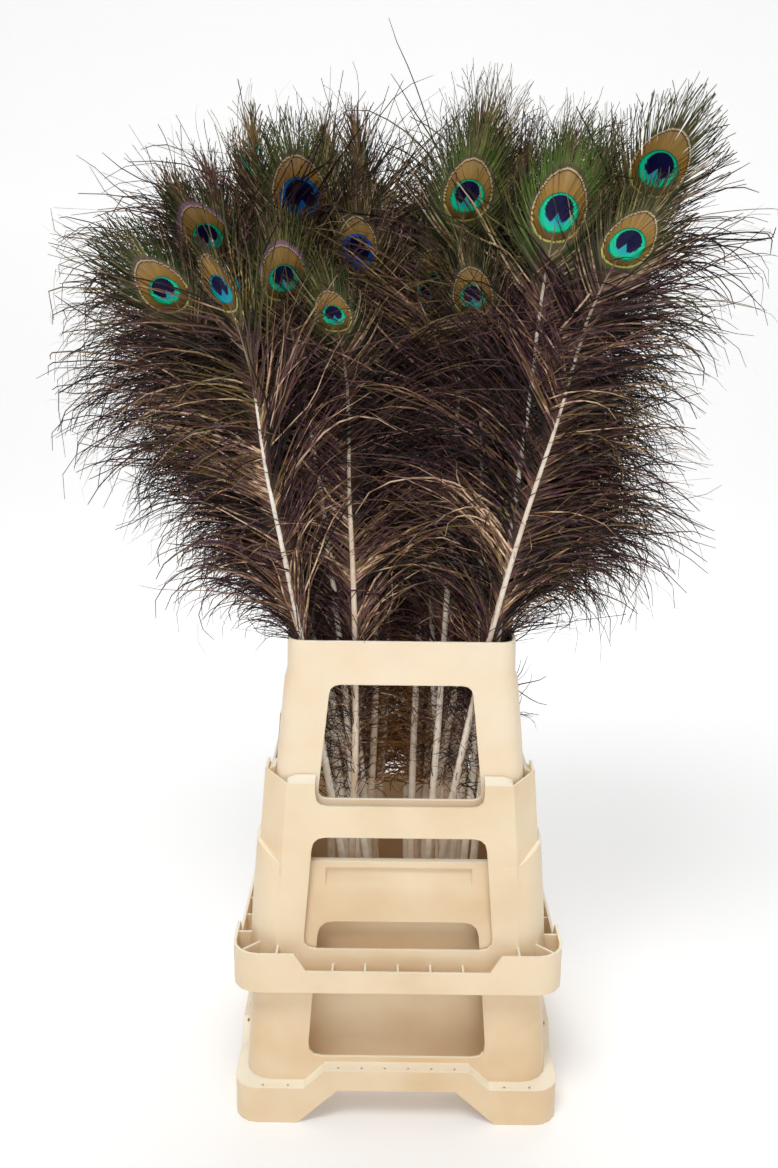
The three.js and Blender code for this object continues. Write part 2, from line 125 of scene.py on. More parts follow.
def makeStudio():
    s = studioSettings
    bpy.context.scene.view_settings.view_transform = "Standard"
    world = bpy.data.worlds.new("studio")
    bpy.context.scene.world = world
    world.use_nodes = True
    world.node_tree.nodes["Background"].inputs["Color"].default_value = (1, 1, 1, 1)
    world.node_tree.nodes["Background"].inputs["Strength"].default_value = s["world"]
    addSoftbox("keyLight", s["keyPlace"], s["keyPower"], s["keySize"])
    addSoftbox("fillLight", s["fillPlace"], s["fillPower"], s["fillSize"])
    addSoftbox("backLight", s["backPlace"], s["backPower"], s["fillSize"])

    # one sheet that curves from the floor up into the wall
    bm = bmesh.new()
    start = bm.verts.new((-s["floorHalf"], s["floorFront"], 0))
    other = bm.verts.new((s["floorHalf"], s["floorFront"], 0))
    edge = bm.edges.new((start, other))
    flat = bmesh.ops.extrude_edge_only(bm, edges=[edge])["geom"]
    moved = [v for v in flat if isinstance(v, bmesh.types.BMVert)]
    bmesh.ops.translate(bm, verts=moved, vec=(0, s["floorBack"] - s["floorFront"], 0))
    lip = [e for e in flat if isinstance(e, bmesh.types.BMEdge)]
    hinge = (0, s["floorBack"], s["sweepRadius"])
    turned = bmesh.ops.spin(
        bm, geom=lip, cent=hinge, axis=(1, 0, 0), angle=math.radians(90), steps=s["sweepSteps"]
    )["geom_last"]
    upright = [e for e in turned if isinstance(e, bmesh.types.BMEdge)]
    wallPart = bmesh.ops.extrude_edge_only(bm, edges=upright)["geom"]
    rising = [v for v in wallPart if isinstance(v, bmesh.types.BMVert)]
    bmesh.ops.translate(bm, verts=rising, vec=(0, 0, s["wallTop"] - s["sweepRadius"]))
    mesh = bpy.data.meshes.new("backdrop")
    bm.to_mesh(mesh)
    bm.free()
    for face in mesh.polygons:
        face.use_smooth = True
    backdrop = bpy.data.objects.new("backdrop", mesh)
    bpy.context.collection.objects.link(backdrop)
    white, desk, paper = newMaterial("backdropPaper")
    paper.inputs["Base Color"].default_value = (*s["paper"], 1)
    paper.inputs["Emission Color"].default_value = (1, 1, 1, 1)
    place = desk.add("ShaderNodeSeparateXYZ")
    desk.feed(place.inputs[0], desk.add("ShaderNodeTexCoord").outputs["Object"])
    behind = desk.fade(place.outputs["Y"], *s["wallGlowBehind"])
    glow = desk.math("MULTIPLY_ADD", behind, s["wallGlow"] - s["paperGlow"], s["paperGlow"])
    desk.feed(paper.inputs["Emission Strength"], glow)
    paper.inputs["Roughness"].default_value = s["paperRoughness"]
    paper.inputs["Specular IOR Level"].default_value = s["paperShine"]
    mesh.materials.append(white)


# Short ways to place nodes in one tree; a value is a number, a colour or another node's output.
class NodeDesk:

    def __init__(self, tree):
        self.tree = tree

    def add(self, kind, **settings):
        node = self.tree.nodes.new(kind)
        for key, value in settings.items():
            setattr(node, key, value)
        return node

    def feed(self, socket, value):
        if isinstance(value, bpy.types.NodeSocket):
            self.tree.links.new(value, socket)
        elif isinstance(value, tuple) and len(value) == 3 and socket.type == "RGBA":
            socket.default_value = (*value, 1)
        else:
            socket.default_value = value

    def math(self, operation, *values, clamp=False):
        node = self.add("ShaderNodeMath", operation=operation, use_clamp=clamp)
        for socket, value in zip(node.inputs, values):
            self.feed(socket, value)
        return node.outputs[0]

    def fade(self, value, low, high):  # 0 below low, 1 above high, or the other way round
        node = self.add("ShaderNodeMapRange", interpolation_type="SMOOTHSTEP")
        self.feed(node.inputs["Value"], value)
        if low < high:
            self.feed(node.inputs["From Min"], low)
            self.feed(node.inputs["From Max"], high)
        else:
            self.feed(node.inputs["From Min"], high)
            self.feed(node.inputs["From Max"], low)
            self.feed(node.inputs["To Min"], 1.0)
            self.feed(node.inputs["To Max"], 0.0)
        return node.outputs[0]

    def mix(self, share, first, second):
        node = self.add("ShaderNodeMix", data_type="RGBA")
        self.feed(node.inputs["Factor"], share)
        self.feed(node.inputs[6], first)
        self.feed(node.inputs[7], second)
        return node.outputs[2]

    def ramp(self, value, stops):
        node = self.add("ShaderNodeValToRGB")
        elements = node.color_ramp.elements
        while len(elements) < len(stops):
            elements.new(1)
        for element, (place, colour) in zip(elements, stops):
            element.position = place
            element.color = (*colour, 1)
        self.feed(node.inputs[0], value)
        return node.outputs["Color"]

    def noise(self, vector, scale, detail=2.0, roughness=0.5):
        node = self.add("ShaderNodeTexNoise")
        self.feed(node.inputs["Vector"], vector)
        self.feed(node.inputs["Scale"], scale)
        self.feed(node.inputs["Detail"], detail)
        self.feed(node.inputs["Roughness"], roughness)
        return node.outputs["Fac"]

    def times(self, first, second):
        return self.math("MULTIPLY", first, second)

    def attribute(self, name):
        return self.add("ShaderNodeAttribute", attribute_name=name).outputs["Fac"]


def paint(red, green, blue):  # a screen colour of 0 to 255 as light
    return tuple(((c / 255 + 0.055) / 1.055) ** 2.4 if c > 10 else c / 255 / 12.92
                 for c in (red, green, blue))


def newMaterial(name):
    material = bpy.data.materials.new(name)
    material.use_nodes = True
    desk = NodeDesk(material.node_tree)
    return material, desk, material.node_tree.nodes["Principled BSDF"]


plasticSettings = {
    # the three pieces are one cream plastic, painted in three shades as painted shade: darkest on
    # the bucket, lightest on the upper collar, darker towards the floor
    "bucket": {"colour": paint(238, 215, 180), "worn": paint(226, 196, 154)},
    "lowerCollar": {"colour": paint(244, 223, 190), "worn": paint(234, 208, 170)},
    "upperCollar": {"colour": paint(248, 229, 202), "worn": paint(240, 216, 182)},
    "roughness": 0.36,
    "uneven": 0.22,
    "through": 0.16,  # light that travels inside, how far, and which colours go furthest
    "depth": 0.004,
    "glow": (1.0, 0.5, 0.2),
    "edge": 0.0014,  # radius that the light sees on every edge
    "edgeSamples": 6,
    "paintedTopLight": paint(255, 246, 226),  # painted highlight: faces that look up are painted paler, where the light from above falls on them
    "paintedTopLightFrom": (0.25, 0.8),
    "paintedTopLightShare": 0.85,
    "cloudy": (9.0, 3.0, 0.55),  # scale, detail and roughness of each noise
    "cloudyFrom": (0.35, 0.75),
    "scuffs": (60.0, 5.0, 0.7),
    "scuffsFrom": (0.62, 0.78),
    "scuffsShare": 0.25,
    "grain": (900.0, 2.0, 0.6),
    "grainShare": 0.12,
    "grainDepth": 0.0003,
}


# Plastic that has clouded and scuffed with use, plus a painted highlight that pales the faces that
# look up, as one group for all three pieces.
def makeWearAndTopLightGroup():
    s = plasticSettings
    group = bpy.data.node_groups.new("wornPlasticWithTopLight", "ShaderNodeTree")
    for name in ("Colour", "Worn"):
        group.interface.new_socket(name, in_out="INPUT", socket_type="NodeSocketColor")
    for name, kind in (("Colour", "Color"), ("Roughness", "Float"), ("Normal", "Vector")):
        group.interface.new_socket(name, in_out="OUTPUT", socket_type="NodeSocket" + kind)
    desk = NodeDesk(group)
    given = desk.add("NodeGroupInput").outputs
    result = desk.add("NodeGroupOutput").inputs
    place = desk.add("ShaderNodeTexCoord").outputs["Object"]
    cloudy = desk.noise(place, *s["cloudy"])
    grain = desk.noise(place, *s["grain"])
    scuffs = desk.noise(place, *s["scuffs"])
    body = desk.mix(desk.fade(cloudy, *s["cloudyFrom"]), given["Colour"], given["Worn"])
    scuffed = desk.times(desk.fade(scuffs, *s["scuffsFrom"]), s["scuffsShare"])
    body = desk.mix(scuffed, body, given["Worn"])
    # painted highlight: faces that look up get a paler colour, as if lit from above
    facing = desk.add("ShaderNodeSeparateXYZ")
    desk.feed(facing.inputs[0], desk.add("ShaderNodeTexCoord").outputs["Normal"])
    paintedTopLightMask = desk.times(desk.fade(facing.outputs["Z"], *s["paintedTopLightFrom"]), s["paintedTopLightShare"])
    desk.feed(result["Colour"], desk.mix(paintedTopLightMask, body, s["paintedTopLight"]))
    rough = desk.math("MULTIPLY_ADD", scuffs, s["uneven"], s["roughness"] - s["uneven"] / 2)
    desk.feed(result["Roughness"], rough)
    soft = desk.add("ShaderNodeBevel", samples=s["edgeSamples"])
    soft.inputs["Radius"].default_value = s["edge"]
    bump = desk.add("ShaderNodeBump")
    bump.inputs["Strength"].default_value = s["grainShare"]
    bump.inputs["Distance"].default_value = s["grainDepth"]
    desk.feed(bump.inputs["Height"], grain)
    desk.feed(bump.inputs["Normal"], soft.outputs["Normal"])
    desk.feed(result["Normal"], bump.outputs["Normal"])
    return group


def makePlastic(label, wearAndTopLight):
    s = plasticSettings
    material, desk, shader = newMaterial(label + "Polypropylene")
    worn = desk.add("ShaderNodeGroup", node_tree=wearAndTopLight)
    desk.feed(worn.inputs["Colour"], s[label]["colour"])
    desk.feed(worn.inputs["Worn"], s[label]["worn"])
    desk.feed(shader.inputs["Base Color"], worn.outputs["Colour"])
    desk.feed(shader.inputs["Roughness"], worn.outputs["Roughness"])
    desk.feed(shader.inputs["Normal"], worn.outputs["Normal"])
    shader.inputs["Subsurface Weight"].default_value = s["through"]
    shader.inputs["Subsurface Radius"].default_value = s["glow"]
    shader.inputs["Subsurface Scale"].default_value = s["depth"]
    return material


shellSettings = {
    "weld": 0.00002,
    "flatWithin": 0.6,  # degrees
    "edge": 0.0009,
    "edgeSteps": 2,
    "edgeFrom": 30,
    "smoothBelow": 40,
}

drainSettings = {  # millimetres; the small drain holes in the foot flange
    "radius": 1.3,
    "sides": 12,
    "spacing": 24,
    "perSide": 6,
    "inFromEdge": 5.5,
    "middle": (52, 72),  # cutters between these heights go through the raised middle
    "overFeet": (32, 50),
    "feetAt": (112, 138),
}


# Upright cutters for the drain holes, in front, behind and on both sides, as one mesh.
def makeDrainCutter():
    d = drainSettings
    low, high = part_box("bucket")
    middleX, middleY = (low.x + high.x) / 2, (low.y + high.y) / 2
    halfX = (high.x - low.x) / 2 / mm - d["inFromEdge"]
    halfY = (high.y - low.y) / 2 / mm - d["inFromEdge"]
    places = []
    for i in range(d["perSide"]):
        along = (i - (d["perSide"] - 1) / 2) * d["spacing"]
        places += [(along, side * halfY, d["middle"]) for side in (-1, 1)]
        places += [(side * halfX, along, d["middle"]) for side in (-1, 1)]
    for at in d["feetAt"]:
        places += [(end * at, side * halfY, d["overFeet"]) for end in (-1, 1) for side in (-1, 1)]
    bm = bmesh.new()
    for x, y, (bottom, top) in places:
        where = Matrix.Translation((middleX + x * mm, middleY + y * mm, (bottom + top) / 2 * mm))
        bmesh.ops.create_cone(bm, cap_ends=True, segments=d["sides"], radius1=d["radius"] * mm,
                              radius2=d["radius"] * mm, depth=(top - bottom) * mm, matrix=where)
    mesh = bpy.data.meshes.new("drainCutter")
    bm.to_mesh(mesh)
    bm.free()
    cutter = bpy.data.objects.new("drainCutter", mesh)
    bpy.context.collection.objects.link(cutter)
    return cutter


# Cuts the holes for good, so that no cutter stays in the scene.
def cutHoles(piece, cutter):
    holes = piece.modifiers.new("drainHoles", "BOOLEAN")
    holes.operation = "DIFFERENCE"
    holes.solver = "EXACT"
    holes.object = cutter
    bpy.context.view_layer.update()
    graph = bpy.context.evaluated_depsgraph_get()
    cut = bpy.data.meshes.new_from_object(piece.evaluated_get(graph))
    uncut = piece.data
    piece.modifiers.clear()
    piece.data = cut
    cut.name = uncut.name
    bpy.data.meshes.remove(uncut)
    bpy.data.objects.remove(cutter)


# A copy of a moulded piece with rounded edges.
def makeShell(node, name, plastic):
    s = shellSettings
    bm = bmesh.new()
    bm.from_mesh(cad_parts[node].data)
    bmesh.ops.remove_doubles(bm, verts=bm.verts, dist=s["weld"])
    bmesh.ops.dissolve_limit(
        bm, angle_limit=math.radians(s["flatWithin"]), verts=bm.verts, edges=bm.edges
    )
    mesh = bpy.data.meshes.new(name)
    bm.to_mesh(mesh)
    bm.free()
    for face in mesh.polygons:
        face.use_smooth = True
    piece = bpy.data.objects.new(name, mesh)
    bpy.context.collection.objects.link(piece)
    if node == "bucket":
        cutHoles(piece, makeDrainCutter())
        mesh = piece.data
    bevel = piece.modifiers.new("roundedEdges", "BEVEL")
    bevel.width = s["edge"]
    bevel.segments = s["edgeSteps"]
    bevel.limit_method = "ANGLE"
    bevel.angle_limit = math.radians(s["edgeFrom"])
    bevel.use_clamp_overlap = True
    mesh.set_sharp_from_angle(angle=math.radians(s["smoothBelow"]))
    mesh.materials.append(plastic)
    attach(piece, "root")
    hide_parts(node)


pageShape = {  # the curved page that each feather lies in
    "floorHalf": 56,
    "spread": 0.0612,
    "bendFrom": 490,
    "bend": 1.6e-4,
    "roundness": 4e-4,
}

lastFront = {"left": 7, "right": 8}  # the feathers after these face backwards

plumeSettings = {
    "perBunch": 24,
    "rimZ": 506,
    "reach": 0.022,  # barbs may reach this share past the box of the solids
    "pressed": 14.0,
    "footHalf": 4.0,  # half the width of the shaft
    "downHalf": 3.9,
    "rimHalf": 3.1,
    "throatHalf": 1.4,
    "eyeHalf": 0.6,
    "flatter": 0.7,  # the shaft's thickness for its width
    "shaftSides": 8,
    "shaftRings": 26,
    "pointHalf": 1.6,
    "pointLong": 20,
    "throatV": -60,  # along the shaft from the middle of the eye, which is 0
    "samples": 420,
    "samplesPast": 20,
    "rollOver": (-330, -30),  # the vane turns on its shaft along this stretch
    "nodOver": (-125, -40),  # and its top nods along this one
    "evenOver": (-200, 0),
    "fringe": 86.24,  # from the middle of the eye to the top of the solid
    "shaftTip": -17,  # the shaft ends here, below the middle of the eye
    "eyeTo": 6,  # and the last barbs of the eye start here
    "downFrom": 318,
    "looseFront": 350,  # loose barbs on each side of a front feather
    "looseOther": 310,
    "looseSteps": 9,
    "lockSize": 7,  # about this many barbs hold together
    "wild": 0.09,
    "eyeBarbs": 90,
    "eyeSteps": 7,
    "eyeFrom": -72,
    "fringeBehind": {"left": 0.66, "right": 1.0},  # share of its fringe that a feather keeps
    "wisps": 0.07,  # share of the fringe that stays long
    "strayBehind": 0.6,  # how loose the eyes are that face backwards
    "sizes": (0.7, 0.9),
    "pitches": (0, 24),
    "rolls": (0, 16),
    "greens": (0, 0.7),
    "mapWide": 300,
    "mapBelow": 900,
    "mapTall": 1100,
}

downShape = {  # brown down of the feathers that stand in the middle of the neck
    "nearMiddle": 48,
    "count": 150,
    "low": 316,
    "high": 500,
    "length": 44,
    "leave": 70,
    "brown": 1.0,
}

tuftShape = {  # the dark tuft that leaves the neck through its side window
    "nearMiddle": 45,
    "count": 18,
    "low": 388,
    "high": 436,
    "length": 88,
    "leave": 78,
    "brown": 0.0,
}

curlyShape = {  # and what the down and the tuft share
    "leave": 16,
    "turn": 30,
    "length": (0.6, 1.0),
    "bow": 8,
    "width": (0.9, 1.9),
    "twist": 50,
    "wiggle": 9.0,
    "hook": 50,
    "tint": 0.4,
}

barbShape = {  # how the open barbs grow at these heights
    "height": (318, 400, 450, 490, 506, 560, 620, 700, 760, 850, 1100),
    "length": (30, 50, 84, 130, 150, 168, 172, 172, 168, 160, 146),
    "left": (30, 50, 84, 112, 124, 136, 156, 184, 200, 196, 160),  # the outer side of each bunch
    "right": (30, 50, 92, 156, 178, 186, 166, 138, 134, 164, 168),
    "leave": (40, 34, 22, 16, 26, 48, 52, 52, 50, 46, 42),  # degrees from the shaft
    "turn": (40, 50, 60, 92, 90, 74, 62, 52, 44, 34, 26),  # and how much more at the tip
    "bow": (8, 8, 9, 10, 12, 20, 24, 24, 22, 18, 14),
    "kept": (0.3, 0.7, 1, 1, 0.9, 0.84, 0.9, 1, 1, 1, 1),  # share of the barbs that grow there
    "inward": 0.62,  # the barbs on the inner side turn less
}

eyeSettings = {  # how each eye in front is turned, sized and coloured
    "feather_left_01": {"size": 0.74, "pitch": 14, "roll": 36, "fringe": 0.62, "inner": 0.3,
                        "tone": 0.45, "quill": 0.0, "green": 0.35},
    "feather_left_02": {"size": 0.60, "pitch": 30, "roll": 10, "quill": 0.75, "green": 0.45},
    "feather_left_03": {"size": 0.76, "pitch": 30, "roll": -16, "tone": 0.05, "blush": 1.0,
                        "green": 0.3},
    "feather_left_04": {"size": 0.80, "pitch": 30, "roll": 6, "fringe": 1.15, "blush": 0.2,
                        "green": 0.45},
    "feather_left_05": {"size": 0.78, "pitch": 34, "roll": 8, "fringe": 0.9, "blush": 1.0,
                        "green": 0.4},
    "feather_left_06": {"size": 0.74, "pitch": 22, "roll": 20, "tone": 0.95, "disc": 1.2,
                        "green": 0.2},
    "feather_left_07": {"size": 0.90, "pitch": 30, "roll": 0, "tone": 0.8, "disc": 1.12,
                        "green": 0.6},
    "feather_right_01": {"size": 0.80, "pitch": 32, "roll": 0, "disc": 1.12, "green": 0.3},
    "feather_right_02": {"size": 0.88, "pitch": 18, "roll": 0, "disc": 1.1, "quill": 0.05,
                         "green": 1.0},
    "feather_right_03": {"size": 0.66, "pitch": 22, "roll": 12, "fringe": 0.9, "green": 0.2},
    "feather_right_04": {"size": 0.80, "pitch": 28, "roll": -10, "fringe": 1.05, "disc": 1.08,
                         "green": 0.7},
    "feather_right_05": {"size": 0.90, "pitch": 34, "roll": 8, "fringe": 1.0, "disc": 1.08,
                         "green": 0.4},
}

neckShape = {  # inside of the holder's neck: height, half the width
    "levels": ((313.8, 126.4), (390, 120.5), (466, 113.6), (474, 111), (506, 110.4)),
    "narrower": 17.5,
    "clear": 2.0,
    "wall": 3.0,
    "windows": 430,  # the height of their middle
}


# The right feather nearest to the open side of the neck.
def findTuftNode():
    best = None
    for number in range(lastFront["right"] + 1, plumeSettings["perBunch"] + 1):
        node = f"feather_right_{number:02d}"
        at = Shaft(node, -1, 0, 0)
        x, y, _ = at.at(np.interp(neckShape["windows"], at.line[:, 2], at.v))[0]
        if abs(y) < tuftShape["nearMiddle"] and (best is None or x > best[0]):
            best = (x, node)
    return best[1]


# The line of one feather's shaft, read from its solid, with the directions of its vane.
class Shaft:

    def __init__(self, node, facing, pitch, roll):
        corners = np.array([v.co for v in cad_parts[node].data.vertices], float) / mm
        corners[:, 0] -= holderMiddle
        heights = np.round(corners[:, 2], 2)
        middles = []
        for height in np.unique(heights):
            across = np.unique(np.round(corners[heights == height, 0], 2))
            ribbed = len(across) == 3
            middles.append((height, across[1] if ribbed else across.mean()))
        middles = np.array(middles)
        self.foot = middles[0, 0]
        self.eyeZ = middles[-1, 0] - plumeSettings["fringe"]
        self.bend = np.polyfit(middles[:, 0], middles[:, 1], 2)
        footRow = corners[heights == heights.min()]
        flat = pageShape["floorHalf"] + pageShape["spread"] * self.foot
        footX = middles[0, 1]
        self.place = footRow[:, 1].mean() / (flat - pageShape["roundness"] * footX ** 2)
        self.sample(facing, pitch, roll)

    def sample(self, facing, pitch, roll):
        p = pageShape
        s = plumeSettings
        z = np.linspace(self.foot, self.eyeZ + s["samplesPast"], s["samples"])
        x = np.polyval(self.bend, z)
        above = np.maximum(z - p["bendFrom"], 0)
        page = p["floorHalf"] + p["spread"] * z + p["bend"] * above ** 2 - p["roundness"] * x ** 2
        line = np.stack([x, self.place * page, z], axis=1)
        step = np.linalg.norm(np.diff(line, axis=0), axis=1)
        along = np.concatenate([[0], np.cumsum(step)])
        self.v = along - np.interp(self.eyeZ, z, along)
        tangent = np.gradient(line, self.v, axis=0)
        tangent /= np.linalg.norm(tangent, axis=1, keepdims=True)
        curve = -2 * p["roundness"] * x * self.place
        slope = np.stack([np.ones_like(x), curve, np.zeros_like(x)], axis=1)
        sideways = slope - (slope * tangent).sum(1, keepdims=True) * tangent
        sideways /= np.linalg.norm(sideways, axis=1, keepdims=True)
        sideways *= facing
        outwards = np.cross(sideways, tangent)
        turn = np.radians(roll) * rise(self.v, s["rollOver"])[:, None]
        sideways, outwards = (
            sideways * np.cos(turn) + outwards * np.sin(turn),
            outwards * np.cos(turn) - sideways * np.sin(turn),
        )
        nod = np.radians(pitch) * rise(self.v, s["nodOver"])[:, None]
        bent = tangent * np.cos(nod) + outwards * np.sin(nod)
        outwards = outwards * np.cos(nod) - tangent * np.sin(nod)
        # the eye's middle stays where the solid has it
        shift = np.cumsum((bent - tangent) * np.gradient(self.v)[:, None], axis=0)
        middle = np.argmin(np.abs(self.v))
        shift -= shift[middle] * rise(self.v, s["evenOver"])[:, None]
        self.line, self.tangent = line + shift, bent
        self.sideways, self.outwards = sideways, outwards

    def at(self, v):
        def pick(rows):
            return np.stack([np.interp(v, self.v, rows[:, i]) for i in range(3)], axis=-1)
        return pick(self.line), pick(self.tangent), pick(self.sideways), pick(self.outwards)


def smooth(share):
    share = np.clip(share, 0, 1)
    return share * share * (3 - 2 * share)


def rise(v, stretch):
    return smooth((v - stretch[0]) / (stretch[1] - stretch[0]))


def neckHalf(z):
    heights, halves = zip(*neckShape["levels"])
    return np.interp(z, heights, halves)


# Barbs from inside the neck stay inside it, and others rest on its rim or hang outside.
def keepInPlace(points, rootZ):
    n = neckShape
    rimZ = plumeSettings["rimZ"]
    x, y, z = points[..., 0], points[..., 1], points[..., 2]
    half = neckHalf(z) - n["clear"]
    deep = half - n["narrower"]
    inside = (z < rimZ + n["clear"]) & (rootZ[:, None] < rimZ)
    x[inside] = np.clip(x, -half, half)[inside]
    y[inside] = np.clip(y, -deep, deep)[inside]
    outer = neckHalf(z) + n["wall"] + n["clear"]
    over = (np.abs(x) < outer) & (np.abs(y) < outer - n["narrower"])
    resting = over & (rootZ[:, None] >= rimZ) & (z < rimZ + n["clear"])
    z[resting] = rimZ + n["clear"]
    z[:] = np.maximum(z, n["clear"])


# The tips that reach furthest are pressed back towards the size of the solids.
def keepInBox(points):
    low, high = (np.array(corner) / mm for corner in cadBox)
    room = plumeSettings["reach"] * (high - low)
    band = plumeSettings["pressed"]
    for axis in range(3):
        places = points[..., axis] + (holderMiddle if axis == 0 else 0)
        top = high[axis] + room[axis]
        bottom = low[axis] - room[axis]
        past = np.maximum(places - (top - band), 0)
        places = np.where(past > 0, top - band + band * np.tanh(past / band), places)
        if axis < 2:
            past = np.maximum(bottom + band - places, 0)
            places = np.where(past > 0, bottom + band - band * np.tanh(past / band), places)
        points[..., axis] = places - (holderMiddle if axis == 0 else 0)


strandShape = {  # how a barb bends on its way to the tip, as powers and shares
    "turnLate": 1.45,
    "hookLate": 4,
    "gatherLate": 1.3,
    "bowLate": 1.7,
    "waves": 2.4,
    "waveTurns": 1.1,
    "sway": 0.6,
    "twistFrom": 0.4,
    "twistMore": 1.4,
    "taper": 0.6,
    "taperLate": 3.2,
    "eyeTaper": 0.66,
    "eyeTaperOver": 0.25,
}


# Ribbons that leave the shaft: their corner points, and what the paint reads at each corner.
def growBarbs(shaft, barbs, steps, lift=0.0, size=1.0, slimFrom=1.0, free=False):
    roots, side, leave, turn, length, bow, gather, width, twist, wiggle, hook, strand = (
        barbs[key][:, None]
        for key in ("roots", "side", "leave", "turn", "length", "bow", "gather", "width", "twist",
                    "wiggle", "hook", "strand")
    )
    p = strandShape
    count = len(roots)
    share = np.linspace(0, 1, steps + 1)[None, :]
    phase = random.random((count, 1))
    angle = leave + turn * share ** p["turnLate"] + hook * share ** p["hookLate"]
    wave = np.sin(2 * math.pi * ((p["waveTurns"] + phase) * share + 7 * phase))
    angle = angle + p["waves"] * wiggle * wave * share
    angle = np.radians(angle + wiggle * random.normal(0, 1, (count, steps + 1)).cumsum(axis=1))
    stride = length / steps
    start = np.zeros((count, 1))
    across = np.concatenate([start, np.cumsum(np.sin(angle[:, :-1]), axis=1)], axis=1) * stride
    upward = np.concatenate([start, np.cumsum(np.cos(angle[:, :-1]), axis=1)], axis=1) * stride
    upward = upward + gather * share ** p["gatherLate"]
    u = side * across
    v = roots + upward
    w = bow * share ** p["bowLate"] + lift
    w = w + p["sway"] * wiggle * np.sin(6 * share + 9 * phase) * share
    middle, tangent, sideways, outwards = shaft.at(barbs["roots"])
    points = (
        middle[:, None, :]
        + u[..., None] * sideways[:, None, :]
        + upward[..., None] * tangent[:, None, :]
        + w[..., None] * outwards[:, None, :]
    )
    if not free:
        keepInPlace(points, middle[:, 2])
    keepInBox(points)
    run = np.gradient(points, axis=1)
    run /= np.maximum(np.linalg.norm(run, axis=2, keepdims=True), 1e-6)
    flat = np.cross(outwards[:, None, :], run)
    flat /= np.maximum(np.linalg.norm(flat, axis=2, keepdims=True), 1e-6)
    up = np.cross(run, flat)
    spin = np.radians(twist * (p["twistFrom"] + p["twistMore"] * share))[..., None]
    flat = flat * np.cos(spin) + up * np.sin(spin)
    if slimFrom == 1:
        slim = 1 - p["taper"] * share ** p["taperLate"]
    else:
        slim = 1 - p["eyeTaper"] * smooth((share - slimFrom) / p["eyeTaperOver"])
    half = (width * slim / 2)[..., None]
    corners = np.stack([points - flat * half, points + flat * half], axis=2)
    columns = (u / size, v / size, share + 0 * u, strand + 0 * u)
    return corners, [np.repeat(column[..., None], 2, axis=2).reshape(-1) for column in columns]


# Collects ribbons and a shaft into the arrays of one mesh.
class Bundle:

    def __init__(self):
        self.points, self.faces, self.paint, self.slots = [], [], [], []
        self.count = 0

    def add(self, corners, columns, plain=0.0, brown=0.0):
        count, rows, _, _ = corners.shape
        index = self.count + np.arange(count * rows * 2).reshape(count, rows, 2)
        quads = np.stack(
            [index[:, :-1, 0], index[:, :-1, 1], index[:, 1:, 1], index[:, 1:, 0]], axis=-1
        ).reshape(-1, 4)
        self.store(corners.reshape(-1, 3), quads, columns, (plain, brown), 0)

    def addTube(self, rings, v, quill):
        rows, sides, _ = rings.shape
        index = self.count + np.arange(rows * sides).reshape(rows, sides)
        turned = np.roll(index, -1, axis=1)
        quads = np.stack([index[:-1], turned[:-1], turned[1:], index[1:]], axis=-1).reshape(-1, 4)
        share = np.repeat(np.linspace(0, 1, rows), sides)
        columns = [np.zeros(rows * sides), np.repeat(v, sides), share, np.full(rows * sides, quill)]
        self.store(rings.reshape(-1, 3), quads, columns, (0.0, 0.0), 1)

    def store(self, points, quads, columns, kinds, slot):
        self.points.append(points)
        self.faces.append(quads)
        columns = [*columns, *(np.full(len(points), kind) for kind in kinds)]
        self.paint.append(np.stack(columns, axis=1))
        self.slots.append(np.full(len(quads), slot))
        self.count += len(points)

    def toMesh(self, name, constants):
        points = np.concatenate(self.points)
        faces = np.concatenate(self.faces)
        columns = np.concatenate(self.paint).astype(np.float32)
        points = (points + np.array([holderMiddle, 0, 0])) * mm
        mesh = bpy.data.meshes.new(name)
        mesh.vertices.add(len(points))
        mesh.vertices.foreach_set("co", points.astype(np.float32).ravel())
        mesh.loops.add(faces.size)
        mesh.loops.foreach_set("vertex_index", faces.ravel().astype(np.int32))
        mesh.polygons.add(len(faces))
        mesh.polygons.foreach_set("loop_start", np.arange(0, faces.size, 4, dtype=np.int32))
        mesh.polygons.foreach_set("material_index", np.concatenate(self.slots).astype(np.int32))
        mesh.update(calc_edges=True)
        values = dict(zip(("vaneU", "vaneV", "along", "strand", "plain", "brown"), columns.T))
        for key, value in constants.items():
            values[key] = np.full(len(points), value, np.float32)
        for key, value in values.items():
            attribute = mesh.attributes.new(key, "FLOAT", "POINT")
            attribute.data.foreach_set("value", np.ascontiguousarray(value))
        s = plumeSettings
        across = columns[:, 0] / s["mapWide"] + 0.5
        upward = (columns[:, 1] + s["mapBelow"]) / s["mapTall"]
        uv = np.clip(np.stack([across, upward], axis=1), 0, 1)[faces.ravel()]
        flatMap = mesh.uv_layers.new(name="OFBake")
        flatMap.data.foreach_set("uv", uv.astype(np.float32).ravel())
        mesh.validate()
        return mesh


def addShaft(bundle, shaft, quill):
    s = plumeSettings
    v = np.linspace(shaft.v[0], s["shaftTip"], s["shaftRings"])
    start, tangent, sideways, outwards = shaft.at(v)
    rimV = np.interp(s["rimZ"], shaft.line[:, 2], shaft.v)
    downV = np.interp(s["downFrom"], shaft.line[:, 2], shaft.v)
    half = np.interp(
        v,
        [shaft.v[0], shaft.v[0] + s["pointLong"], downV, rimV, s["throatV"], s["shaftTip"]],
        [s[part + "Half"] for part in ("point", "foot", "down", "rim", "throat", "eye")],
    )
    around = np.linspace(0, 2 * math.pi, s["shaftSides"], endpoint=False)
    rings = (
        start[:, None, :]
        + half[:, None, None] * np.cos(around)[None, :, None] * sideways[:, None, :]
        + s["flatter"] * half[:, None, None] * np.sin(around)[None, :, None] * outwards[:, None, :]
    )
    bundle.addTube(rings, v, quill)


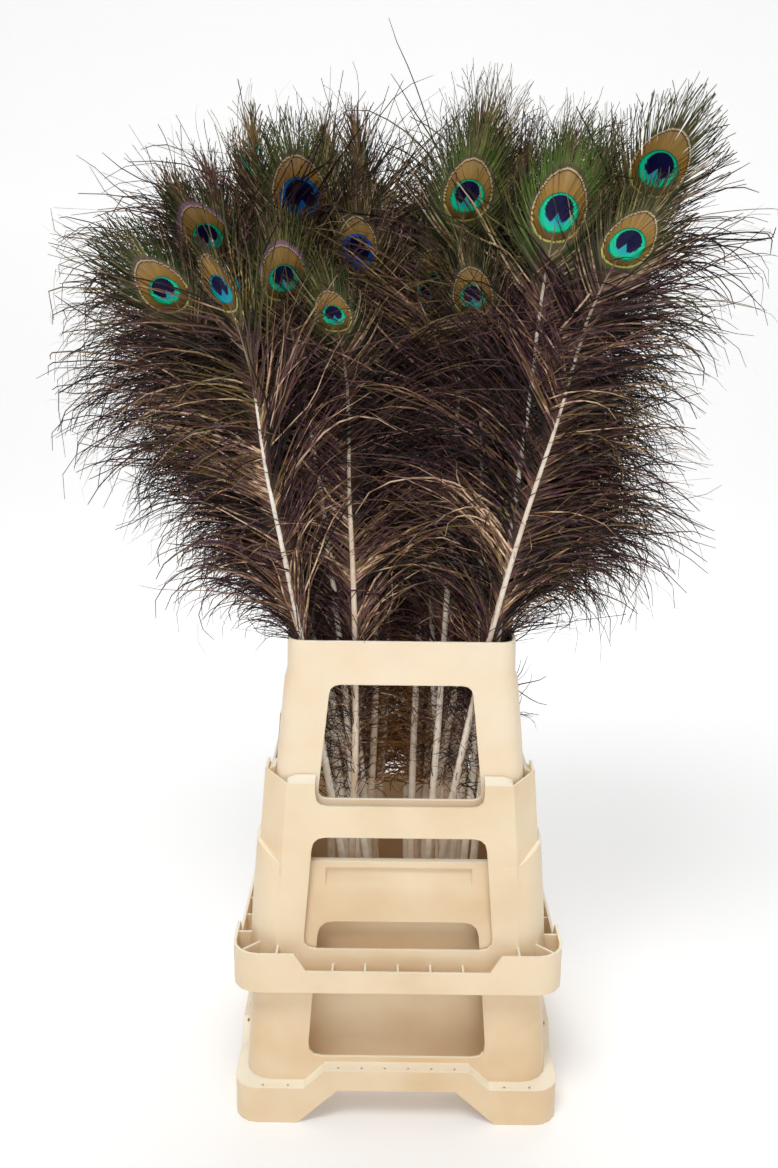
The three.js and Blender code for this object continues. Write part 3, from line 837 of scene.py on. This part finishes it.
looseShape = {  # spreads of the open barbs, in degrees and millimetres
    "crowding": 0.9,
    "belowRim": (16, 40),  # barbs from lower than this are unruly
    "eyeOver": (-170, -60),
    "turnSpread": (0.5, 1.25),
    "innerLeave": 0.4,
    "eyeLeave": 12,
    "lean": 6,
    "ownLean": 6,
    "lowLean": 14,
    "curl": 16,
    "ownCurl": 10,
    "wildCurl": 50,
    "lengthSpread": 0.12,
    "shortest": 0.5,
    "shortestOutside": 0.08,
    "longest": 1.1,
    "push": 0.8,
    "ownPush": 0.6,
    "eyePush": 0.4,
    "wildBow": (8, 26),
    "gather": 0.9,
    "width": (0.9, 2.0),
    "lowSlimmer": 0.4,
    "twist": 45,
    "wiggle": 2.6,
    "lowWiggle": 10,
    "wildWiggle": 3,
    "hook": 8,
    "outsideHook": 24,
    "hookSpread": 38,
    "lockTint": 0.62,
    "ownTint": 0.5,
    "darker": 0.06,
}


# The open barbs between the holder and the eye; outside is 1 on the side away from the middle.
def addLooseBarbs(bundle, shaft, count, side, outside, inner, label):
    s, b, p = plumeSettings, barbShape, looseShape
    downV = np.interp(s["downFrom"], shaft.line[:, 2], shaft.v)
    share = (np.arange(count) + random.random(count)) / count
    roots = downV + (s["eyeFrom"] - downV) * share ** p["crowding"]
    rootZ = np.interp(roots, shaft.v, shaft.line[:, 2])
    kept = random.random(count) < np.interp(rootZ, b["height"], b["kept"])
    roots, rootZ, count = roots[kept], rootZ[kept], kept.sum()
    length, leave, turn, spread = (
        np.interp(rootZ, b["height"], b[key])
        for key in (label if outside else "length", "leave", "turn", "bow")
    )
    down = rise(s["rimZ"] - rootZ, p["belowRim"])
    nearEye = rise(roots, p["eyeOver"])

    # barbs hold together in locks, which lean and curl alike
    lock = np.cumsum(random.random(count) < 1 / s["lockSize"])
    lockMiddle = (np.bincount(lock, roots) / np.maximum(np.bincount(lock), 1))[lock]
    lean, curl, push, grow = random.normal(0, 1, (4, lock[-1] + 1))[:, lock]
    tint = random.random(lock[-1] + 1)[lock]

    wild = random.random(count) < s["wild"]
    turn = turn * (outside + (1 - outside) * b["inward"] * inner)
    turn = turn * random.uniform(*p["turnSpread"], count)
    innerLeave = p["innerLeave"] + (1 - p["innerLeave"]) * inner
    leave = leave * (outside + (1 - outside) * innerLeave) + p["eyeLeave"] * outside * nearEye
    barbs = {
        "roots": roots,
        "side": np.full(count, float(side)),
        "leave": leave + p["lean"] * lean + random.normal(0, p["ownLean"], count)
        + down * random.normal(0, p["lowLean"], count),
        "turn": turn + p["curl"] * curl + random.normal(0, p["ownCurl"], count)
        + wild * random.normal(0, p["wildCurl"], count),
        "length": length * (1 + p["lengthSpread"] * grow)
        * random.uniform(p["shortest"] + p["shortestOutside"] * outside, p["longest"], count),
        "bow": (p["push"] * push + p["ownPush"] * random.normal(0, 1, count)) * spread
        * (1 - p["eyePush"] * nearEye) + wild * random.normal(*p["wildBow"], count),
        "gather": p["gather"] * (lockMiddle - roots),
        "width": random.uniform(*p["width"], count) * (1 - p["lowSlimmer"] * down),
        "twist": random.normal(0, p["twist"], count),
        "wiggle": p["wiggle"] + p["lowWiggle"] * down + p["wildWiggle"] * wild,
        "hook": random.normal(p["hook"] + p["outsideHook"] * outside, p["hookSpread"], count),
        "strand": np.clip(
            p["lockTint"] * tint + p["ownTint"] * random.random(count) - p["darker"], 0, 1
        ),
    }
    bundle.add(*growBarbs(shaft, barbs, s["looseSteps"]))


eyeShape = {  # the barbs of the eye; of a pair, the second is what a fully stray eye adds
    "leave": 44,
    "leaveLate": 0.8,
    "upright": 1.0,
    "longest": ((0, 0.35, 0.75, 1), (112, 102, 88, 80)),
    "crowding": 0.75,
    "jitter": 0.3,
    "least": (0.8, -0.5),
    "most": 1.02,
    "keptWisps": (0.95, 1.1),
    "strayLeave": 7,
    "turnBack": 0.42,
    "turnMore": 2,
    "turnSpread": (2, 16),
    "bow": (2.0, 14),
    "width": (1.6, -0.3),
    "twist": (9, 25),
    "wiggle": (0.5, 1.6),
    "hook": (26, 20),
    "slimFrom": 0.42,
    "slimFromStray": 0.3,
    "layers": ((0.25, 0.0), (-0.25, 1.0)),  # lift, and 1 for the plain layer behind
}


# The closed barbs that carry the eye, with their loose tips, and a duller layer behind them.
def addEyeBarbs(bundle, shaft, side, size, stray, fringe):
    s, p = plumeSettings, eyeShape
    count = s["eyeBarbs"]
    spread = {key: p[key][0] + p[key][1] * stray
              for key in ("least", "turnSpread", "bow", "width", "twist", "wiggle", "hook")}
    share = (np.arange(count) + p["jitter"] * random.random(count)) / (count - 1)
    leave = p["leave"] * (1 - share) ** p["leaveLate"] + p["upright"]
    longest = np.interp(share, *p["longest"])
    keeps = random.uniform(spread["least"], p["most"], count) * fringe
    isWisp = random.random(count) < s["wisps"]
    keeps = np.where(isWisp, random.uniform(*p["keptWisps"], count), keeps)
    barbs = {
        "roots": s["eyeFrom"] + (s["eyeTo"] - s["eyeFrom"]) * share ** p["crowding"],
        "side": np.full(count, float(side)),
        "leave": leave + stray * random.normal(0, p["strayLeave"], count),
        "turn": -p["turnBack"] * leave - p["turnMore"]
        + spread["turnSpread"] * random.normal(0, 1, count),
        "length": longest * keeps * (0.5 + 0.5 * size),
        "bow": random.normal(0, spread["bow"], count),
        "gather": np.zeros(count),
        "width": np.full(count, spread["width"]),
        "twist": random.normal(0, spread["twist"], count),
        "wiggle": np.full(count, spread["wiggle"]),
        "hook": random.normal(0, spread["hook"], count),
        "strand": random.random(count),
    }
    slimFrom = p["slimFrom" if stray == 0 else "slimFromStray"]
    state = random.bit_generator.state
    for lift, plain in p["layers"]:
        random.bit_generator.state = state
        bundle.add(*growBarbs(shaft, barbs, s["eyeSteps"], lift, size, slimFrom), plain)


# Short curly barbs low on a shaft: brown down in the neck, or a dark tuft that leaves its side.
def addDown(bundle, shaft, shape, side=0.0):
    p, count = curlyShape, shape["count"]
    rootZ = random.uniform(shape["low"], shape["high"], count)
    barbs = {
        "roots": np.interp(rootZ, shaft.line[:, 2], shaft.v),
        "side": np.full(count, side) if side else random.choice([-1.0, 1.0], count),
        "leave": random.normal(shape["leave"], p["leave"], count),
        "turn": random.normal(0, p["turn"], count),
        "length": shape["length"] * random.uniform(*p["length"], count),
        "bow": random.normal(0, p["bow"], count),
        "gather": np.zeros(count),
        "width": random.uniform(*p["width"], count),
        "twist": random.normal(0, p["twist"], count),
        "wiggle": np.full(count, p["wiggle"]),
        "hook": random.normal(0, p["hook"], count),
        "strand": random.random(count) * p["tint"],
    }
    grown = growBarbs(shaft, barbs, plumeSettings["looseSteps"], free=side != 0)
    bundle.add(*grown, brown=shape["brown"])


def makePlume(label, number, materials):
    s = plumeSettings
    node = f"feather_{label}_{number:02d}"
    away = -1 if label == "left" else 1
    inFront = number <= lastFront[label]
    look = {
        "size": random.uniform(*s["sizes"]),
        "pitch": random.uniform(*s["pitches"]),
        "roll": random.normal(*s["rolls"]),
        "quill": random.uniform(0, 1),
        "green": random.uniform(*s["greens"]),
        "tone": 0.0,
        "disc": 1.0,
        "blush": 0.0,
        "inner": 1.0,
        "fringe": 1.0 if inFront else s["fringeBehind"][label],
    }
    look.update(eyeSettings.get(node, {}))
    facing = 1 if inFront else -1
    shaft = Shaft(node, facing, look["pitch"], look["roll"])
    bundle = Bundle()
    addShaft(bundle, shaft, look["quill"])
    stray = 0.0 if inFront else s["strayBehind"]
    for side in (-1, 1):
        outside = 1.0 if side * facing == away else 0.0
        count = s["looseFront" if inFront else "looseOther"]
        addLooseBarbs(bundle, shaft, count, side, outside, look["inner"], label)
        addEyeBarbs(bundle, shaft, side, look["size"], stray, look["fringe"])
    low = shaft.at(np.interp(neckShape["windows"], shaft.line[:, 2], shaft.v))[0]
    if abs(low[0]) < downShape["nearMiddle"] and not inFront:
        addDown(bundle, shaft, downShape)
    if node == tuftNode:
        addDown(bundle, shaft, tuftShape, float(facing))
    name = f"plume_{label}_{number:02d}"
    mesh = bundle.toMesh(name, {key: look[key] for key in ("tone", "disc", "blush", "green")})
    for material in materials:
        mesh.materials.append(material)
    piece = bpy.data.objects.new(name, mesh)
    bpy.context.collection.objects.link(piece)
    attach(piece, "root")
    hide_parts(node)
    return len(mesh.polygons) * 2


eyePaint = {
    "halfWidth": 27.5,
    "halfHeight": 39,
    "narrowing": 0.0042,  # the egg is narrower towards its top
    "discHalf": (18.5, 19.5),
    "discLow": -7.6,
    "heartHalf": (13.2, 13.6),
    "heartLow": -3.6,
    "heart": paint(8, 8, 62),
    "heartLobe": paint(44, 12, 58),
    "disc": paint(14, 222, 158),
    "discInner": paint(40, 190, 205),
    "discBlue": paint(16, 84, 196),
    "discEdge": paint(6, 110, 84),
    "bronze": ((0.0, paint(78, 46, 18)), (0.24, paint(120, 76, 26)), (0.5, paint(160, 112, 44)),
               (0.75, paint(180, 136, 74)), (1.0, paint(178, 142, 104))),
    "bronzeShine": paint(134, 124, 56),
    "innerLine": paint(96, 60, 26),
    "paleLow": paint(198, 198, 104),
    "paleTop": paint(212, 196, 150),
    "dim": paint(96, 90, 62),
    "mauve": paint(160, 116, 150),
    "uneven": 0.02,  # how much the strands fray the rings
    "notchFrom": -2.5,
    "notchWidens": 0.5,
    "notchEdge": (-0.6, 0.6),
    "shineShare": 0.5,
    "paleOver": (-30.0, 12.0),  # along the shaft
    "mauveOver": (-6.0, 14.0),
    "lobeOver": (1.0, -9.0),
    "lobeShare": 0.7,
    "discEdgeAt": (1.0, 0.86),  # shares of the disc
    "discInnerAt": (0.85, 0.5),
    "discAt": (1.03, 0.99),
    "heartAt": (1.02, 0.97),
    "innerAt": (0.92, 0.88),  # shares of the whole eye
    "paleAt": (0.93, 0.955),
    "mauveAt": (0.975, 1.01),
    "eyeAt": (1.2, 1.06),
}

barbPaint = {
    "strands": ((0.0, paint(5, 2, 2)), (0.3, paint(16, 8, 6)), (0.5, paint(56, 34, 28)),
                (0.62, paint(106, 68, 78)), (0.72, paint(98, 86, 42)), (0.86, paint(152, 110, 80)),
                (1.0, paint(240, 206, 170))),
    "lighter": (0.2, 0.8),  # the strands that purple and olive show on
    "glintSpeckle": (2.0, 2.0),  # scale and detail of the noise, partly the barbs' own segments and partly painted glints on their barbules
    "glintSpeckleAcross": 40.0,
    "glintSpeckleAlong": 5.0,
    "glintSpeckleShare": 0.9,
    "patches": (7.0, 3.0),
    "purple": paint(92, 50, 78),
    "purpleFrom": (0.46, 0.62),
    "purpleShare": 0.3,
    "olive": paint(124, 118, 60),
    "oliveFrom": (0.6, 0.42),
    "oliveOver": (-170.0, 20.0),
    "oliveShare": 0.7,
    "green": paint(90, 134, 46),
    "greenOver": (-90.0, 20.0),
    "greenWithin": (62.0, 20.0),
    "root": paint(150, 112, 92),
    "rootWithin": (16.0, 1.0),
    "rootShare": 0.2,
    "tip": paint(30, 18, 14),
    "tipFrom": (0.55, 1.0),
    "tipShare": 0.5,
    "brown": paint(146, 100, 54),
    "brownLeast": 0.6,
    "roughness": 0.46,
    "eyeSmoother": 0.08,
    "shine": 0.2,
}

shaftPaint = {
    "streaks": (120.0, 3.0),
    "streaksFrom": (0.35, 0.7),
    "pale": paint(252, 246, 234),
    "streak": paint(236, 222, 200),
    "tan": paint(196, 150, 102),
    "tanShare": 0.6,
    "throat": paint(132, 104, 78),
    "throatOver": (-130.0, -20.0),
    "roughness": 0.38,
    "insideBelow": (0.5, 0.48),
    "paintedInsideGlow": 0.06,
}


def makeBarbMaterial():
    e, b = eyePaint, barbPaint
    material, desk, shader = newMaterial("barbs")
    u = desk.attribute("vaneU")
    v = desk.attribute("vaneV")
    along = desk.attribute("along")
    strand = desk.attribute("strand")
    plain = desk.attribute("plain")
    tone = desk.attribute("tone")
    blush = desk.attribute("blush")
    disc = desk.attribute("disc")
    green = desk.attribute("green")
    brown = desk.attribute("brown")
    place = desk.add("ShaderNodeTexCoord").outputs["Object"]

    def oval(x, y, halfX, halfY):
        flatX = desk.math("DIVIDE", x, halfX)
        flatY = desk.math("DIVIDE", y, halfY)
        squares = desk.math("ADD", desk.times(flatX, flatX), desk.times(flatY, flatY))
        return desk.math("SQRT", squares)

    # open barbs: each strand has its own colour, paler where it leaves the shaft
    # each strand's colour shifts along it with a noise: partly its own segmented colour, partly
    # painted glints of the barbules
    wander = desk.add("ShaderNodeCombineXYZ")
    desk.feed(wander.inputs["X"], desk.times(strand, b["glintSpeckleAcross"]))
    desk.feed(wander.inputs["Y"], desk.times(along, b["glintSpeckleAlong"]))
    glintSpeckle = desk.math("SUBTRACT", desk.noise(wander.outputs[0], *b["glintSpeckle"]), 0.5)
    pick = desk.math("ADD", strand, desk.times(glintSpeckle, b["glintSpeckleShare"]), clamp=True)
    loose = desk.ramp(pick, b["strands"])
    lighter = desk.fade(strand, *b["lighter"])
    patches = desk.noise(place, *b["patches"])
    purplish = desk.times(desk.fade(patches, *b["purpleFrom"]), lighter)
    loose = desk.mix(desk.times(purplish, b["purpleShare"]), loose, b["purple"])
    greenish = desk.times(desk.fade(v, *b["oliveOver"]), lighter)
    greenish = desk.times(greenish, desk.fade(patches, *b["oliveFrom"]))
    loose = desk.mix(desk.times(greenish, b["oliveShare"]), loose, b["olive"])
    fromShaft = desk.math("ABSOLUTE", u)
    nearEye = desk.times(desk.fade(v, *b["greenOver"]), desk.fade(fromShaft, *b["greenWithin"]))
    nearEye = desk.times(nearEye, desk.math("SUBTRACT", 1.0, plain))
    nearEye = desk.times(nearEye, desk.math("MULTIPLY_ADD", strand, 0.5, 0.5))
    loose = desk.mix(desk.times(nearEye, green), loose, b["green"])
    rooted = desk.times(desk.fade(fromShaft, *b["rootWithin"]), b["rootShare"])
    loose = desk.mix(rooted, loose, b["root"])
    tipped = desk.times(desk.fade(along, *b["tipFrom"]), b["tipShare"])
    loose = desk.mix(tipped, loose, b["tip"])
    downy = desk.times(brown, desk.math("MULTIPLY_ADD", strand, 1.0, b["brownLeast"]))
    loose = desk.mix(downy, loose, b["brown"])

    # the eye, from its rim inwards
    narrowing = desk.math("SUBTRACT", 1.0, desk.times(v, e["narrowing"]))
    rim = oval(desk.math("DIVIDE", u, narrowing), v, e["halfWidth"], e["halfHeight"])
    rim = desk.math("ADD", rim, desk.times(desk.math("SUBTRACT", strand, 0.5), e["uneven"]))
    discX = desk.math("DIVIDE", u, disc)
    discY = desk.math("DIVIDE", desk.math("SUBTRACT", v, e["discLow"]), disc)
    discRim = oval(discX, discY, *e["discHalf"])
    heartY = desk.math("DIVIDE", desk.math("SUBTRACT", v, e["heartLow"]), disc)
    heartRim = oval(discX, heartY, *e["heartHalf"])
    notchWide = desk.times(desk.math("SUBTRACT", e["notchFrom"], heartY), e["notchWidens"])
    inNotch = desk.math("SUBTRACT", notchWide, desk.math("ABSOLUTE", discX))
    notch = desk.fade(inNotch, *e["notchEdge"])

    height = desk.math("MULTIPLY_ADD", v, 0.5 / e["halfHeight"], 0.5, clamp=True)
    bronze = desk.ramp(height, e["bronze"])
    shine = desk.mix(desk.times(strand, e["shineShare"]), bronze, e["bronzeShine"])
    pale = desk.mix(desk.fade(v, *e["paleOver"]), e["paleLow"], e["paleTop"])
    mauve = desk.mix(desk.times(desk.fade(v, *e["mauveOver"]), blush), e["dim"], e["mauve"])
    teal = desk.mix(desk.fade(discRim, *e["discEdgeAt"]), e["discEdge"], e["disc"])
    teal = desk.mix(desk.fade(discRim, *e["discInnerAt"]), teal, e["discInner"])
    teal = desk.mix(tone, teal, e["discBlue"])
    lobed = desk.times(desk.fade(heartY, *e["lobeOver"]), e["lobeShare"])
    heart = desk.mix(lobed, e["heart"], e["heartLobe"])

    eye = desk.mix(desk.fade(rim, *e["innerAt"]), e["innerLine"], shine)
    eye = desk.mix(desk.fade(rim, *e["paleAt"]), eye, pale)
    eye = desk.mix(desk.fade(rim, *e["mauveAt"]), eye, mauve)
    eye = desk.mix(desk.fade(discRim, *e["discAt"]), eye, teal)
    unnotched = desk.math("SUBTRACT", 1.0, notch)
    eye = desk.mix(desk.times(desk.fade(heartRim, *e["heartAt"]), unnotched), eye, heart)
    inEye = desk.times(desk.fade(rim, *e["eyeAt"]), desk.math("SUBTRACT", 1.0, plain))
    colour = desk.mix(inEye, loose, eye)
    desk.feed(shader.inputs["Base Color"], colour)
    rough = desk.math("MULTIPLY_ADD", inEye, -b["eyeSmoother"], b["roughness"])
    desk.feed(shader.inputs["Roughness"], rough)
    shader.inputs["Specular IOR Level"].default_value = b["shine"]
    return material


def makeShaftMaterial():
    s = shaftPaint
    material, desk, shader = newMaterial("quill")
    place = desk.add("ShaderNodeTexCoord").outputs["Object"]
    streaks = desk.fade(desk.noise(place, *s["streaks"]), *s["streaksFrom"])
    light = desk.mix(streaks, s["pale"], s["streak"])
    light = desk.mix(desk.times(desk.attribute("strand"), s["tanShare"]), light, s["tan"])
    throat = desk.fade(desk.attribute("vaneV"), *s["throatOver"])
    colour = desk.mix(throat, light, s["throat"])
    desk.feed(shader.inputs["Base Color"], colour)
    shader.inputs["Roughness"].default_value = s["roughness"]
    # painted glow: the shafts inside the holder give off a little of their own colour, standing in
    # for light that comes through the plastic
    split = desk.add("ShaderNodeSeparateXYZ")
    desk.feed(split.inputs[0], place)
    paintedGlowInHolder = desk.fade(split.outputs["Z"], *s["insideBelow"])
    desk.feed(shader.inputs["Emission Color"], colour)
    desk.feed(shader.inputs["Emission Strength"], desk.times(paintedGlowInHolder, s["paintedInsideGlow"]))
    return material


makeCamera()
makeStudio()
print("studio ready")

wearAndTopLightGroup = makeWearAndTopLightGroup()
makeShell("bucket", "bucketShell", makePlastic("bucket", wearAndTopLightGroup))
makeShell("lower_collar", "lowerCollarShell", makePlastic("lowerCollar", wearAndTopLightGroup))
makeShell("upper_collar", "upperCollarShell", makePlastic("upperCollar", wearAndTopLightGroup))
print("holder ready")

finishes = (makeBarbMaterial(), makeShaftMaterial())
tuftNode = findTuftNode()
triangles = 0
for bunchLabel in ("left", "right"):
    for plumeNumber in range(1, plumeSettings["perBunch"] + 1):
        triangles += makePlume(bunchLabel, plumeNumber, finishes)
    print("bunch ready:", bunchLabel, triangles, "triangles")
